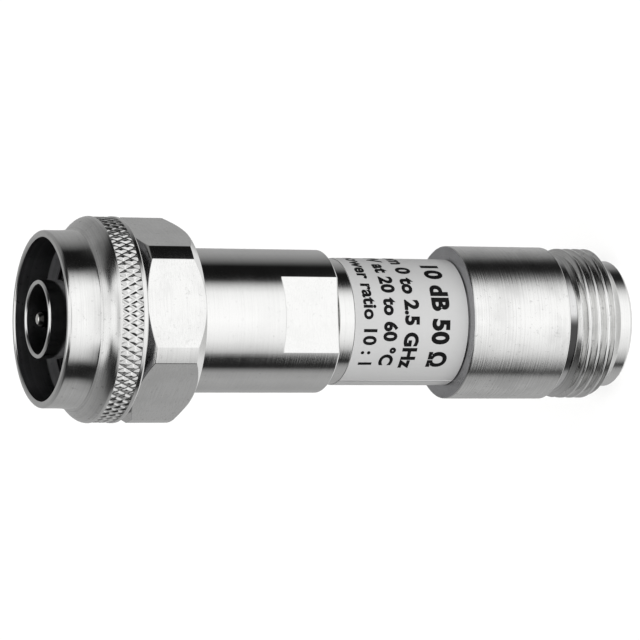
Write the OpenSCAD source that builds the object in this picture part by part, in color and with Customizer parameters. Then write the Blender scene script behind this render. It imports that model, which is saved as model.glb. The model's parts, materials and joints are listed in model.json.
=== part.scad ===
// Coaxial attenuator: a plug with a turning coupling nut on one end, a threaded jack on the other.
// It stands on the jack's end face. Z runs up the axis of the line, and all sizes are in millimetres.

/* [Jack body] */
// Diameter of the smooth lead-in at the jack's tip
jack_tip_d = 13.3; // [12.8:0.1:14]
// Length of the smooth lead-in
jack_tip_len = 1.45; // [1:0.05:2]
// Diameter over the crests of the coupling thread
thread_d = 15.8; // [15.4:0.1:15.9]
// Length of the full thread between its two chamfers
thread_len = 3.4; // [2:0.1:6]
// Diameter of the run-out groove behind the thread
neck_d = 14.4; // [13.8:0.1:14.6]
// Length of the run-out groove
neck_len = 1.05; // [0.8:0.05:3]
// Diameter of the jack body
jack_d = 16; // [15:0.1:18]
// Length of the jack body behind the groove
jack_len = 11.05; // [9:0.05:16]
// Bore that takes the mating plug's ferrule
jack_bore_d = 8.1; // [8.05:0.05:8.4]
// Depth of that bore to the plane where the two outer contacts meet
jack_bore_depth = 9.1; // [8.5:0.1:9.5]
// Length of the narrower line bore between that plane and the insulator
jack_line_len = 1.2; // [0.6:0.1:2]

/* [Housing tube] */
// Diameter of the tube between the two ends
tube_d = 13; // [12.4:0.1:14]
// Length of tube that shows
tube_show = 14.45; // [12:0.05:24]
// Diameter of the threaded spigots at its ends
spigot_d = 11.2; // [10.8:0.1:11.6]
// Length of each spigot
spigot_len = 4.5; // [3:0.1:5]
// Bore that holds the inner stack, through the tube and into both ends
core_d = 9.2; // [8.8:0.1:9.6]

/* [Label] */
// Width of the label along the tube
label_w = 12.7; // [8:0.1:13]
// Thickness of the label with its glue
label_t = 0.08; // [0.05:0.01:0.2]
// Gap between the label and the jack body
label_edge_gap = 0.1; // [0.05:0.05:0.5]
// Gap between the label's two ends where they meet
label_seam_w = 0.15; // [0.1:0.05:1]
// Direction of that seam round the axis
label_seam_angle = -164; // [-180:1:180]

/* [Plug body] */
// Diameter of the plug body
plug_d = 14.8; // [14.4:0.1:14.8]
// Length from its back shoulder to the gasket's seat
plug_len = 20.25; // [18:0.05:26]
// Distance across the two wrench flats
flat_af = 12.6; // [12.2:0.1:13.6]
// Length of the flats from the back shoulder
flat_len = 6.25; // [4:0.05:9]
// Outside diameter of the ferrule, the plug's outer contact
ferrule_d = 8; // [7.7:0.1:8.1]
// Length of the ferrule in front of the gasket's seat
ferrule_len = 10.25; // [9.6:0.05:11]
// Bore of the coaxial line
line_d = 7; // [6.6:0.1:7.2]
// Depth of the insulator's stop below the gasket's seat
plug_stop_depth = 5.4; // [4:0.1:7]

/* [Coupling nut] */
// Length of the nut
nut_len = 14.5; // [13:0.1:17]
// Distance across the flats of the hexagon
nut_af = 19; // [18.5:0.1:20]
// Diameter of the round stock that cuts the hexagon's corners, and of the knurled collar
nut_d = 21; // [20.5:0.1:22]
// Length of the hexagon
hex_len = 6.1; // [5:0.1:7]
// Diameter of the hexagon's back face inside its chamfer
hex_back_d = 18.9; // [18:0.1:19]
// Length of the chamfer at the back of the hexagon
hex_back_chamfer = 1.1; // [0.6:0.1:1.6]
// Length of the chamfer at the front of the hexagon
hex_front_chamfer = 0.7; // [0.4:0.1:1.2]
// Width of the groove between the hexagon and the collar
collar_groove_w = 0.45; // [0.3:0.05:0.8]
// Diameter of that groove
collar_groove_d = 17.6; // [17:0.1:18.6]
// Width of the plain land on the hexagon's side of the knurl
back_land = 0.55; // [0.2:0.05:1]
// Width of the knurl
knurl_w = 2.25; // [1.5:0.05:3]
// Width of the plain land on the mouth's side of the knurl
front_land = 0.1; // [0.05:0.05:0.5]
// Length of the rounded shoulder between the collar and the fillet at the sleeve
shoulder_len = 1.6; // [1:0.1:2]
// How far that fillet stands out from the sleeve
shoulder_fillet = 0.2; // [0.1:0.05:0.4]
// Steps in the shoulder's curve, and in the fillet's
shoulder_steps = 8; // [4:1:16]
// Diameter of the plain sleeve round the mouth
sleeve_d = 18; // [17.6:0.1:19]
// Diameter of the mouth
mouth_d = 16.5; // [16.2:0.1:16.8]
// Depth of the mouth in front of the thread
mouth_depth = 3.2; // [2:0.1:4]
// Inside diameter of the nut's thread
nut_thread_d = 14.9; // [14.9:0.05:15.1]
// Diameter of the run-out groove at the bottom of the thread
nut_relief_d = 16.1; // [16:0.1:16.6]
// Width of that groove
nut_relief_w = 1; // [0.6:0.1:1.4]
// Height of that groove's lower edge above the gasket's seat
nut_relief_lift = 0.5; // [0.3:0.1:0.8]
// Angle at which the loose nut stands
nut_turn = 4.4; // [0:0.1:60]

/* [Knurl] */
// Diamonds round the collar
knurl_count = 70; // [50:1:90]
// Half diamonds across the collar
knurl_rows = 3; // [2:1:5]
// Depth of the knurl's grooves
knurl_depth = 0.25; // [0.15:0.05:0.35]
// How far the knurl's points lie below the lands
knurl_sink = 0.05; // [0.02:0.01:0.1]

/* [Retaining ring] */
// Distance from the gasket's seat back to the middle of the ring
ring_back = 1.9; // [1.4:0.1:3]
// Distance from the nut's back face to the middle of the ring
ring_from_nut_back = 2.7; // [2:0.1:3.5]
// Thickness of the ring along the axis
ring_t = 0.9; // [0.6:0.1:1.2]
// Diameter of the ring's groove in the plug body
ring_groove_d = 13.3; // [12.8:0.1:13.6]
// Diameter of the ring's groove in the nut
nut_groove_d = 16.4; // [16:0.1:17]
// Width of the slit that lets the ring close
ring_slit = 2.4; // [1.5:0.1:4]

/* [Gasket] */
// Outside diameter of the gasket
gasket_d = 13.8; // [12:0.1:14.2]
// Hole in the gasket, clear of the wall that slides over the ferrule
gasket_hole_d = 9.8; // [9.7:0.1:10.4]
// Thickness of the gasket
gasket_t = 1.1; // [0.8:0.1:1.5]

/* [Contacts and insulators] */
// Diameter of the centre conductor behind the contacts
contact_d = 3.04; // [2.8:0.02:3.2]
// Diameter of the plug's pin
pin_d = 1.65; // [1.6:0.01:1.7]
// Distance from the ferrule's front back to the pin's shoulder
pin_shoulder_back = 5.4; // [5:0.1:6]
// Distance from the ferrule's front back to the pin's tip
pin_tip_back = 0; // [0:0.1:2]
// Radius of the pin's rounded tip
pin_nose_r = 0.7; // [0.2:0.05:0.75]
// Steps in that rounding
pin_nose_steps = 6; // [3:1:12]
// How far the jack's socket reaches in front of the plane where the outer contacts meet
socket_reach = 5; // [4.7:0.05:5.2]
// Hole in the socket that takes a pin
socket_hole_d = 1.7; // [1.68:0.01:1.8]
// Depth of that hole
socket_hole_depth = 5.6; // [4.5:0.1:6]
// Width of the slots between the socket's fingers
socket_slot_w = 0.25; // [0.2:0.01:0.35]
// Length of those slots
socket_slot_len = 4.4; // [3.5:0.1:5]
// Number of slot cuts through the whole socket
socket_cuts = 2; // [1:1:3]
// Diameter of each contact's tail, through its insulator
tail_d = 2.2; // [1.9:0.1:2.6]
// Length of each tail behind its insulator
tail_len = 1.7; // [1:0.1:2.5]
// Length of each insulator
bead_len = 3.5; // [2.5:0.1:4.5]

/* [Resistors] */
// Diameter of the series resistor rods
rod_d = 1.8; // [1.4:0.1:1.9]
// Length of rod held at each end
rod_grip = 1.2; // [0.8:0.1:2]
// Thickness of the shunt resistor disc
disc_t = 0.8; // [0.5:0.05:1.2]
// Diameter of the stud through the disc
stud_d = 2; // [1.9:0.05:2.2]
// Diameter of the hub and collar that clamp the disc
hub_d = 3.2; // [2.8:0.1:3.6]
// Thickness of the hub between the disc and the rod's end
hub_floor = 0.5; // [0.3:0.05:1]
// Length of the stud beyond the disc
stud_len = 1.25; // [0.8:0.05:2]
// Free height of the conical spring washer
washer_h = 0.4; // [0.35:0.05:0.8]
// Thickness of the washer's sheet
washer_t = 0.2; // [0.1:0.05:0.3]

/* [Fits and edges] */
// Radial clearance of pieces that are screwed or pressed together
seat_clear = 0.02; // [0.01:0.01:0.05]
// Radial clearance between the turning nut and what it runs on
nut_clear = 0.1; // [0.08:0.01:0.1]
// Clearance on each side of the ring in its grooves
ring_clear = 0.06; // [0.04:0.01:0.1]
// Clearance between a spigot's end and the floor of its hole
spigot_end_clear = 0.2; // [0.1:0.05:0.4]
// Chamfer on the lead-in and end edges of the turned bodies
edge = 0.25; // [0.1:0.05:0.4]
// Chamfer on the two nearly sharp edges of the jack body
jack_edge = 0.1; // [0.05:0.05:0.2]
// Chamfer on the thin edges of the ferrule, the nut and the socket
fine_edge = 0.15; // [0.05:0.05:0.2]

/* [Hidden] */
$fn = 96;
// Overshoot of a cut beyond the faces that it opens
cut = 1;
// How far the knurl's ring runs under the lands beside it
knurl_bury = 0.1;
// How far the bed that is cut for the knurl lies below its grooves
knurl_bed = 0.15;
// How far the knurl's ring reaches below its grooves, past that bed
knurl_root = 0.3;

// Radii
line_r = line_d / 2;
core_r = core_d / 2;
stack_r = core_r - seat_clear;
spigot_r = spigot_d / 2;
plug_r = plug_d / 2;
ferrule_r = ferrule_d / 2;
contact_r = contact_d / 2;
tail_r = tail_d / 2;
rod_r = rod_d / 2;
stud_r = stud_d / 2;
hub_r = hub_d / 2;
nut_r = nut_d / 2;
nut_bore_r = plug_r + nut_clear;
knurl_point_r = nut_r - knurl_sink;
knurl_groove_r = knurl_point_r - knurl_depth;

// Heights of the jack body, from its end face upwards
z_tip = jack_tip_len;
z_thread_lo = z_tip + (thread_d - jack_tip_d) / 2;
z_thread_hi = z_thread_lo + thread_len;
z_neck_lo = z_thread_hi + (thread_d - neck_d) / 2;
z_neck_hi = z_neck_lo + neck_len;
z_jack_top = z_neck_hi + jack_len;
z_jack_floor = z_jack_top - spigot_len - spigot_end_clear;
z_jack_stop = jack_bore_depth + jack_line_len;

// Heights of the housing tube and the plug body
z_shoulder = z_jack_top + tube_show;
z_plug_floor = z_shoulder + spigot_len + spigot_end_clear;
z_seat = z_shoulder + plug_len;
z_front = z_seat + ferrule_len;
z_plug_stop = z_seat - plug_stop_depth;
z_ring = z_seat - ring_back;

// Heights of the coupling nut
z_nut = z_ring - ring_from_nut_back;
z_hex_top = z_nut + hex_len;
z_collar = z_hex_top + collar_groove_w;
z_knurl_lo = z_collar + back_land;
z_knurl_hi = z_knurl_lo + knurl_w;
z_shoulder_lo = z_knurl_hi + front_land;
z_rim = z_nut + nut_len;
z_mouth = z_rim - mouth_depth;
z_relief_lo = z_seat + nut_relief_lift;

// Heights of the inner stack: each tail meets its rod, and the disc sits where both rods are alike
z_jack_bead_hi = z_jack_stop + bead_len;
z_plug_bead_lo = z_plug_stop - bead_len;
z_jack_tail = z_jack_bead_hi + tail_len;
z_plug_tail = z_plug_bead_lo - tail_len;
z_disc = (z_plug_tail - stud_len + z_jack_tail + hub_floor) / 2;
z_disc_lo = z_disc - disc_t / 2;
z_disc_hi = z_disc + disc_t / 2;
z_hub_floor = z_disc_lo - hub_floor;
z_stud_top = z_disc_hi + stud_len;
z_jack_spacer = z_jack_bead_hi + washer_h;
z_socket = jack_bore_depth - socket_reach;

// A solid turned from an outline of [radius, height] points
module turned(outline) {
    rotate_extrude() polygon(outline);
}

// A plain tube between two heights
module tube(r_in, r_out, z_lo, z_hi) {
    turned([[r_in, z_lo], [r_out, z_lo], [r_out, z_hi], [r_in, z_hi]]);
}

// A sleeve whose bore changes radius at height z_step, over two rods that meet there
module stepped_sleeve(r_out, z_lo, r_lo, z_step, r_hi, z_hi) {
    turned([
        [r_lo, z_lo], [r_out, z_lo], [r_out, z_hi], [r_hi, z_hi], [r_hi, z_step], [r_lo, z_step]
    ]);
}

// Radius of a knurl point: points and grooves alternate round each row, shifted by one from row to row
function knurl_r(i, j) = (i + j) % 2 == 0 ? knurl_groove_r : knurl_point_r;

// Ring whose outside is a field of four-sided points between two sets of crossing grooves
module knurl_band() {
    steps = 2 * knurl_count;
    z_lo = z_knurl_lo - knurl_bury;
    row_h = (knurl_w + 2 * knurl_bury) / knurl_rows;
    r_in = knurl_groove_r - knurl_root;
    function at(r, i, z) = [r * cos(360 * i / steps), r * sin(360 * i / steps), z];
    function outer(i, j) = j * steps + i % steps;
    function inner(i, j) = (knurl_rows + 1 + j) * steps + i % steps;
    outside = [
        for (j = [0:knurl_rows], i = [0:steps - 1]) at(knurl_r(i, j), i, z_lo + j * row_h)
    ];
    inside = [
        for (j = [0:1], i = [0:steps - 1]) at(r_in, i, z_lo + j * knurl_rows * row_h)
    ];
    // Each cell is split along its groove
    cells = [
        for (j = [0:knurl_rows - 1], i = [0:steps - 1])
            let (a = outer(i, j), b = outer(i + 1, j), c = outer(i + 1, j + 1), d = outer(i, j + 1))
                each (i + j) % 2 == 0 ? [[a, c, b], [a, d, c]] : [[a, d, b], [b, d, c]]
    ];
    bottom = [
        for (i = [0:steps - 1])
            let (o = outer(i, 0), p = outer(i + 1, 0), q = inner(i + 1, 0))
                each [[inner(i, 0), o, q], [o, p, q]]
    ];
    top = [
        for (i = [0:steps - 1])
            let (o = outer(i, knurl_rows), p = outer(i + 1, knurl_rows), q = inner(i + 1, 1))
                each [[inner(i, 1), q, o], [o, q, p]]
    ];
    bore = [
        for (i = [0:steps - 1])
            let (q = inner(i + 1, 0), t = inner(i, 1))
                each [[inner(i, 0), q, t], [q, inner(i + 1, 1), t]]
    ];
    polyhedron(concat(outside, inside), concat(cells, bottom, top, bore));
}

// Hexagon cut from round stock, chamfered at both ends
module nut_hexagon() {
    intersection() {
        translate([0, 0, z_nut])
            rotate(nut_turn)
                cylinder(d = nut_af / cos(30), h = hex_len, $fn = 6);
        turned([
            [0, z_nut], [hex_back_d / 2, z_nut], [nut_r, z_nut + hex_back_chamfer],
            [nut_r, z_hex_top - hex_front_chamfer], [nut_af / 2, z_hex_top], [0, z_hex_top]
        ]);
    }
}

// Outline of the shoulder: a parabola that falls away from the collar, then an arc that starts with
// the parabola's slope and runs out along the sleeve
function shoulder_outline() =
    let (
        sleeve_r = sleeve_d / 2,
        fall = nut_r - sleeve_r - shoulder_fillet,
        slope = atan(2 * fall / shoulder_len),
        arc_r = shoulder_fillet / (1 - cos(slope)),
        z_end = z_shoulder_lo + shoulder_len + arc_r * sin(slope)
    )
    concat(
        [for (i = [0:shoulder_steps])
            let (s = i / shoulder_steps) [nut_r - fall * s * s, z_shoulder_lo + shoulder_len * s]],
        [for (i = [1:shoulder_steps])
            let (a = slope * (1 - i / shoulder_steps))
                [sleeve_r + arc_r * (1 - cos(a)), z_end - arc_r * sin(a)]]
    );

// Everything of the nut in front of the hexagon, with the knurl's bed cut into the collar
module nut_collar_and_sleeve() {
    groove_r = collar_groove_d / 2;
    bed_r = knurl_groove_r - knurl_bed;
    turned(concat(
        [[0, z_hex_top - cut], [groove_r, z_hex_top - cut], [groove_r, z_collar],
         [nut_r - fine_edge, z_collar], [nut_r, z_collar + fine_edge], [nut_r, z_knurl_lo],
         [bed_r, z_knurl_lo], [bed_r, z_knurl_hi], [nut_r, z_knurl_hi]],
        shoulder_outline(),
        [[sleeve_d / 2, z_rim - edge], [sleeve_d / 2 - edge, z_rim], [0, z_rim]]
    ));
}

// Space inside the nut: mouth, thread bore, run-out groove, running bore and the ring's groove
module nut_inside() {
    thread_r = nut_thread_d / 2;
    relief_r = nut_relief_d / 2;
    groove_r = nut_groove_d / 2;
    half_groove = ring_t / 2 + ring_clear;
    turned([
        [0, z_nut - cut], [nut_bore_r + fine_edge, z_nut - cut], [nut_bore_r + fine_edge, z_nut],
        [nut_bore_r, z_nut + fine_edge], [nut_bore_r, z_ring - half_groove],
        [groove_r, z_ring - half_groove], [groove_r, z_ring + half_groove],
        [nut_bore_r, z_ring + half_groove], [nut_bore_r, z_relief_lo], [relief_r, z_relief_lo],
        [relief_r, z_relief_lo + nut_relief_w], [thread_r, z_relief_lo + nut_relief_w],
        [thread_r, z_mouth - (mouth_d / 2 - thread_r)], [mouth_d / 2, z_mouth],
        [mouth_d / 2, z_rim - fine_edge], [mouth_d / 2 + fine_edge, z_rim],
        [mouth_d / 2 + fine_edge, z_rim + cut], [0, z_rim + cut]
    ]);
}

module coupling_nut() {
    color("silver")
        difference() {
            union() {
                nut_hexagon();
                nut_collar_and_sleeve();
                knurl_band();
            }
            nut_inside();
        }
}

module retaining_ring() {
    r_in = ring_groove_d / 2 + seat_clear;
    r_out = nut_groove_d / 2 - nut_clear;
    color("dimgray")
        difference() {
            tube(r_in, r_out, z_ring - ring_t / 2, z_ring + ring_t / 2);
            translate([-ring_slit / 2, 0, z_ring - ring_t])
                cube([ring_slit, nut_groove_d, 2 * ring_t]);
        }
}

module mouth_gasket() {
    color("#3a3a3c")
        tube(gasket_hole_d / 2, gasket_d / 2, z_seat, z_seat + gasket_t);
}

module plug_body() {
    groove_r = ring_groove_d / 2;
    half_groove = ring_t / 2 + ring_clear;
    color("silver")
        difference() {
            turned([
                [spigot_r + seat_clear, z_shoulder], [plug_r - fine_edge, z_shoulder],
                [plug_r, z_shoulder + fine_edge], [plug_r, z_ring - half_groove],
                [groove_r, z_ring - half_groove], [groove_r, z_ring + half_groove],
                [plug_r, z_ring + half_groove], [plug_r, z_seat - edge], [plug_r - edge, z_seat],
                [ferrule_r, z_seat], [ferrule_r, z_front - fine_edge],
                [ferrule_r - fine_edge, z_front], [line_r + fine_edge, z_front],
                [line_r, z_front - fine_edge], [line_r, z_plug_stop], [core_r, z_plug_stop],
                [core_r, z_plug_floor], [spigot_r + seat_clear, z_plug_floor]
            ]);
            for (side = [0, 180])
                rotate(side)
                    translate([-plug_d / 2, flat_af / 2, z_shoulder - cut])
                        cube([plug_d, plug_d, flat_len + cut]);
        }
}

// Contact with a rounded tip, a shoulder in the air line and a tail through the insulator
module plug_pin() {
    pin_r = pin_d / 2;
    tip = z_front - pin_tip_back;
    shoulder = z_front - pin_shoulder_back;
    nose = [
        for (i = [0:pin_nose_steps])
            let (a = 90 * i / pin_nose_steps)
                [pin_r - pin_nose_r + pin_nose_r * cos(a), tip - pin_nose_r + pin_nose_r * sin(a)]
    ];
    color("lightgray")
        turned(concat(
            [[0, z_plug_tail], [tail_r, z_plug_tail], [tail_r, z_plug_stop], [contact_r, z_plug_stop],
             [contact_r, shoulder], [pin_r, shoulder]],
            nose,
            [[0, tip]]
        ));
}

// Slotted contact whose tail passes up through the jack's insulator
module jack_socket() {
    color("lightgray")
        difference() {
            turned([
                [0, z_socket], [contact_r - fine_edge, z_socket], [contact_r, z_socket + fine_edge],
                [contact_r, z_jack_stop], [tail_r, z_jack_stop], [tail_r, z_jack_tail], [0, z_jack_tail]
            ]);
            translate([0, 0, z_socket - cut])
                cylinder(d = socket_hole_d, h = socket_hole_depth + cut);
            for (i = [0:socket_cuts - 1])
                rotate(180 * i / socket_cuts)
                    translate([-contact_d, -socket_slot_w / 2, z_socket - cut])
                        cube([2 * contact_d, socket_slot_w, socket_slot_len + cut]);
        }
}

module plug_insulator() {
    color("white") tube(tail_r + seat_clear, stack_r, z_plug_bead_lo, z_plug_stop);
}

module jack_insulator() {
    color("white") tube(tail_r + seat_clear, stack_r, z_jack_stop, z_jack_bead_hi);
}

module plug_rod_sleeve() {
    color("lightgray")
        stepped_sleeve(
            contact_r, z_plug_tail - rod_grip, rod_r + seat_clear,
            z_plug_tail, tail_r + seat_clear, z_plug_bead_lo
        );
}

module jack_rod_sleeve() {
    color("lightgray")
        stepped_sleeve(
            contact_r, z_jack_bead_hi, tail_r + seat_clear,
            z_jack_tail, rod_r + seat_clear, z_jack_tail + rod_grip
        );
}

module plug_rod() {
    color("#4b4642") translate([0, 0, z_stud_top]) cylinder(r = rod_r, h = z_plug_tail - z_stud_top);
}

module jack_rod() {
    color("#4b4642") translate([0, 0, z_jack_tail]) cylinder(r = rod_r, h = z_hub_floor - z_jack_tail);
}

module shunt_disc() {
    color("#5b5550") tube(stud_r + seat_clear, stack_r, z_disc_lo, z_disc_hi);
}

// Hub under the disc, with a socket for the lower rod and a stud through the disc
module centre_hub() {
    socket_r = rod_r + seat_clear;
    color("lightgray")
        turned([
            [socket_r, z_hub_floor - rod_grip], [hub_r, z_hub_floor - rod_grip], [hub_r, z_disc_lo],
            [stud_r, z_disc_lo], [stud_r, z_stud_top], [0, z_stud_top], [0, z_hub_floor],
            [socket_r, z_hub_floor]
        ]);
}

module disc_collar() {
    color("lightgray")
        stepped_sleeve(
            hub_r, z_disc_hi, stud_r + seat_clear,
            z_stud_top, rod_r + seat_clear, z_stud_top + rod_grip
        );
}

module plug_spacer() {
    color("darkkhaki") tube(line_r, stack_r, z_disc_hi, z_plug_bead_lo);
}

module jack_spacer() {
    color("darkkhaki") tube(line_r, stack_r, z_jack_spacer, z_disc_lo);
}

// Conical washer: its inner edge rests on the insulator and its outer edge lifts the spacer
module spring_washer() {
    color("dimgray")
        turned([
            [line_r, z_jack_bead_hi], [stack_r, z_jack_spacer - washer_t],
            [stack_r, z_jack_spacer], [line_r, z_jack_bead_hi + washer_t]
        ]);
}

module housing_tube() {
    z_lo = z_jack_top - spigot_len;
    z_hi = z_shoulder + spigot_len;
    color("silver")
        turned([
            [core_r, z_lo], [spigot_r - edge, z_lo], [spigot_r, z_lo + edge], [spigot_r, z_jack_top],
            [tube_d / 2, z_jack_top], [tube_d / 2, z_shoulder], [spigot_r, z_shoulder],
            [spigot_r, z_hi - edge], [spigot_r - edge, z_hi], [core_r, z_hi]
        ]);
}

// Foil wrapped once round the tube, with a narrow gap where its ends meet
module rating_label() {
    r_in = tube_d / 2 + seat_clear;
    z_lo = z_jack_top + label_edge_gap;
    color("gainsboro")
        difference() {
            tube(r_in, r_in + label_t, z_lo, z_lo + label_w);
            rotate(label_seam_angle)
                translate([0, -label_seam_w / 2, z_lo - cut])
                    cube([tube_d, label_seam_w, label_w + 2 * cut]);
        }
}

module jack_body() {
    jack_r = jack_d / 2;
    bore_r = jack_bore_d / 2;
    color("silver")
        turned([
            [bore_r + edge, 0], [jack_tip_d / 2 - edge, 0], [jack_tip_d / 2, edge],
            [jack_tip_d / 2, z_tip], [thread_d / 2, z_thread_lo], [thread_d / 2, z_thread_hi],
            [neck_d / 2, z_neck_lo], [neck_d / 2, z_neck_hi], [jack_r - jack_edge, z_neck_hi],
            [jack_r, z_neck_hi + jack_edge], [jack_r, z_jack_top - jack_edge],
            [jack_r - jack_edge, z_jack_top],
            [spigot_r + seat_clear, z_jack_top], [spigot_r + seat_clear, z_jack_floor],
            [core_r, z_jack_floor], [core_r, z_jack_stop], [line_r, z_jack_stop],
            [line_r, jack_bore_depth], [bore_r, jack_bore_depth], [bore_r, edge]
        ]);
}

coupling_nut();
retaining_ring();
mouth_gasket();
plug_body();
plug_pin();
plug_insulator();
plug_rod_sleeve();
plug_rod();
disc_collar();
shunt_disc();
centre_hub();
jack_rod();
jack_rod_sleeve();
jack_socket();
jack_insulator();
plug_spacer();
jack_spacer();
spring_washer();
housing_tube();
rating_label();
jack_body();
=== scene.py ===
# %% [markdown]
# A coaxial attenuator is a short piece of screened line with resistors inside. It has a plug with a
# loose coupling nut at one end and a threaded jack at the other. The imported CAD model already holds
# every piece at its real size and place, so this lesson only makes its surfaces look right: fine edges,
# threads, a knurl, a printed label and the finish of each metal, plastic and rubber.

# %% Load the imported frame
import json
import math

import bmesh
import bpy
import numpy as np
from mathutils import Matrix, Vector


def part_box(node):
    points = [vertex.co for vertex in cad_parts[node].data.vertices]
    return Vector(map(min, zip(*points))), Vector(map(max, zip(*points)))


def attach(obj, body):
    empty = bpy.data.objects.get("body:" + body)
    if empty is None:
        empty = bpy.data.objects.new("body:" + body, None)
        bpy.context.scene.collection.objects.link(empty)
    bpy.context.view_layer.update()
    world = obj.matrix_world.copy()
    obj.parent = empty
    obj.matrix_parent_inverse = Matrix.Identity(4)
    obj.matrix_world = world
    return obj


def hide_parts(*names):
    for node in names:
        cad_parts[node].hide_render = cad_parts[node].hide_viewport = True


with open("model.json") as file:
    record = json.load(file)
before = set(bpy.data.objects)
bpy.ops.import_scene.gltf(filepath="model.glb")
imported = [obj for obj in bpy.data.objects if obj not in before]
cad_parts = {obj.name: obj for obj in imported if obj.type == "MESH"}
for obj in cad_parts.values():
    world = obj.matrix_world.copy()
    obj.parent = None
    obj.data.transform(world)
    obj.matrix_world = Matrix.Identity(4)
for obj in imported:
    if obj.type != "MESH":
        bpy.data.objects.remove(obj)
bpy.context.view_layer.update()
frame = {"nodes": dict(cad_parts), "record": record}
print("CAD nodes:", len(frame["nodes"]))

# %% [markdown]
# All sizes below are in millimetres, as a lathe operator would write them, and become metres only when
# a mesh is made. The heights of the pieces come from the frame, and the thread's ends, the ferrule and
# the retaining ring from the record's mounts and joint, so the surfaces follow the CAD.

# %% Sizes from the frame
MM = 0.001


def heights(node):
    """Lowest and highest point of a CAD node on the axis, in millimetres."""
    low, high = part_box(node)
    return low.z / MM, high.z / MM


def radius_of(node):
    """Largest distance of a turned CAD node from the axis, in millimetres."""
    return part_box(node)[1].x / MM


_, jack_top = heights("jack_body")
plug_bottom, plug_front = heights("plug_body")
nut_bottom, nut_rim = heights("coupling_nut")
label_bottom, label_top = heights("rating_label")
gasket_bottom, gasket_top = heights("mouth_gasket")
tube_low, tube_high = heights("housing_tube")
jack_bead_low, _ = heights("jack_insulator")
bead_low, bead_high = heights("plug_insulator")
mounts = {mount["name"]: mount for mount in frame["record"]["mounts"]}
ring_z = frame["record"]["behaviour"]["joints"][0]["pos_m"][2] / MM
print("jack ends at", round(jack_top, 2), "plug body starts at", round(plug_bottom, 2))

# %% [markdown]
# Nearly every piece was turned on a lathe, so one idea makes them all: an outline of (radius, height)
# corners is carried round the axis. Real edges are never perfectly sharp. Each corner is therefore
# replaced by a short curve, which catches a thin line of light. A Bevel modifier could do this too, but
# working out the rows directly keeps the row spacing, and so the shading, under control.


# %% Rows of a turned surface
def turned_rows(outline, angles, steps=2):
    """Rows of radius, height and angle for a closed outline, corner by corner.

    A corner is (radius, height, softness), or has its own angles as a fourth item. Radius and height
    may be numbers or one value per angle. A corner p with softness s becomes the quadratic curve
    (1-t)^2 a + 2t(1-t) p + t^2 b, where a and b lie s from p towards its neighbours, but at most a
    third of the way. One more row on each side, half as far again, keeps the walls flat.
    """
    count = len(angles)
    spread = [np.broadcast_to(np.asarray(value, float), count) for c in outline for value in c[:2]]
    corners = np.array(spread).reshape(len(outline), 2, count)
    turns = np.array([c[3] if len(c) > 3 else angles for c in outline])
    soft = np.array([c[2] for c in outline])[:, None, None]
    legs = np.stack([np.roll(corners, 1, 0), np.roll(corners, -1, 0)]) - corners
    length = np.maximum(np.hypot(legs[:, :, 0], legs[:, :, 1])[:, :, None], 1e-9)
    reach_back, reach_ahead = legs * np.minimum(soft / length, 1 / 3)
    t = np.linspace(0, 1, steps + 1)[:, None, None, None]
    curve = corners + (1 - t) ** 2 * reach_back + t**2 * reach_ahead
    rows = np.concatenate([[corners + 1.5 * reach_back], curve, [corners + 1.5 * reach_ahead]])
    keep = np.broadcast_to(soft[:, 0, 0] > 0, rows.shape[:2]).copy()
    keep[0] = True
    order = keep.T.reshape(-1)
    rows = rows.swapaxes(0, 1).reshape(-1, 2, count)[order]
    turns = np.repeat(turns, steps + 3, axis=0)[order]
    return rows[:, 0], rows[:, 1], turns


def skin(name, radius, height, turns, ring=True, around=True):
    """Mesh over a grid of rows and columns: x = r cos a, y = r sin a, z = h.

    Columns close round the axis, or end in flat caps where around is false. Rows close into a ring, or
    end in two poles on the axis where ring is false. Doubles at poles and short legs are merged.
    """
    rows, columns = radius.shape
    points = np.stack([radius * np.cos(turns), radius * np.sin(turns), height], -1).reshape(-1, 3) * MM
    i = np.arange(rows if ring else rows - 1)[:, None]
    j = np.arange(columns if around else columns - 1)[None]
    up, right = (i + 1) % rows * columns, (j + 1) % columns
    quads = np.stack([i * columns + j, i * columns + right, up + right, up + j], -1).reshape(-1, 4)
    faces = quads.tolist()
    if not around:
        first = np.arange(rows) * columns
        faces += [first[::-1].tolist(), (first + columns - 1).tolist()]
    mesh = bpy.data.meshes.new(name)
    mesh.from_pydata(points.tolist(), [], faces)
    shell = bmesh.new()
    shell.from_mesh(mesh)
    bmesh.ops.remove_doubles(shell, verts=shell.verts, dist=0.0004 * MM)
    bmesh.ops.dissolve_degenerate(shell, edges=shell.edges, dist=0.0002 * MM)
    shell.to_mesh(mesh)
    shell.free()
    mesh.shade_smooth()
    piece = bpy.data.objects.new(name, mesh)
    bpy.context.scene.collection.objects.link(piece)
    print(name, "has", sum(len(p.vertices) - 2 for p in mesh.polygons), "triangles")
    return piece


def full_turn(columns):
    """Evenly spaced angles once round the axis."""
    return np.arange(columns) * 2 * math.pi / columns


# %% [markdown]
# The finishes come next, because each piece gets its material as soon as it is made. Colours are picked
# as sRGB hex values and turned to the linear values that the shader works in. One helper adds any node,
# sets its properties and links or fills its sockets.


# %% Colour and node helpers
def linear(code):
    """Linear RGBA from an sRGB hex value: ((c + 0.055) / 1.055) ^ 2.4, or c / 12.92 near black."""
    srgb = np.array([int(code[k : k + 2], 16) for k in (1, 3, 5)]) / 255
    rgb = np.where(srgb <= 0.04045, srgb / 12.92, ((srgb + 0.055) / 1.055) ** 2.4)
    return (*rgb.tolist(), 1.0)


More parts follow.
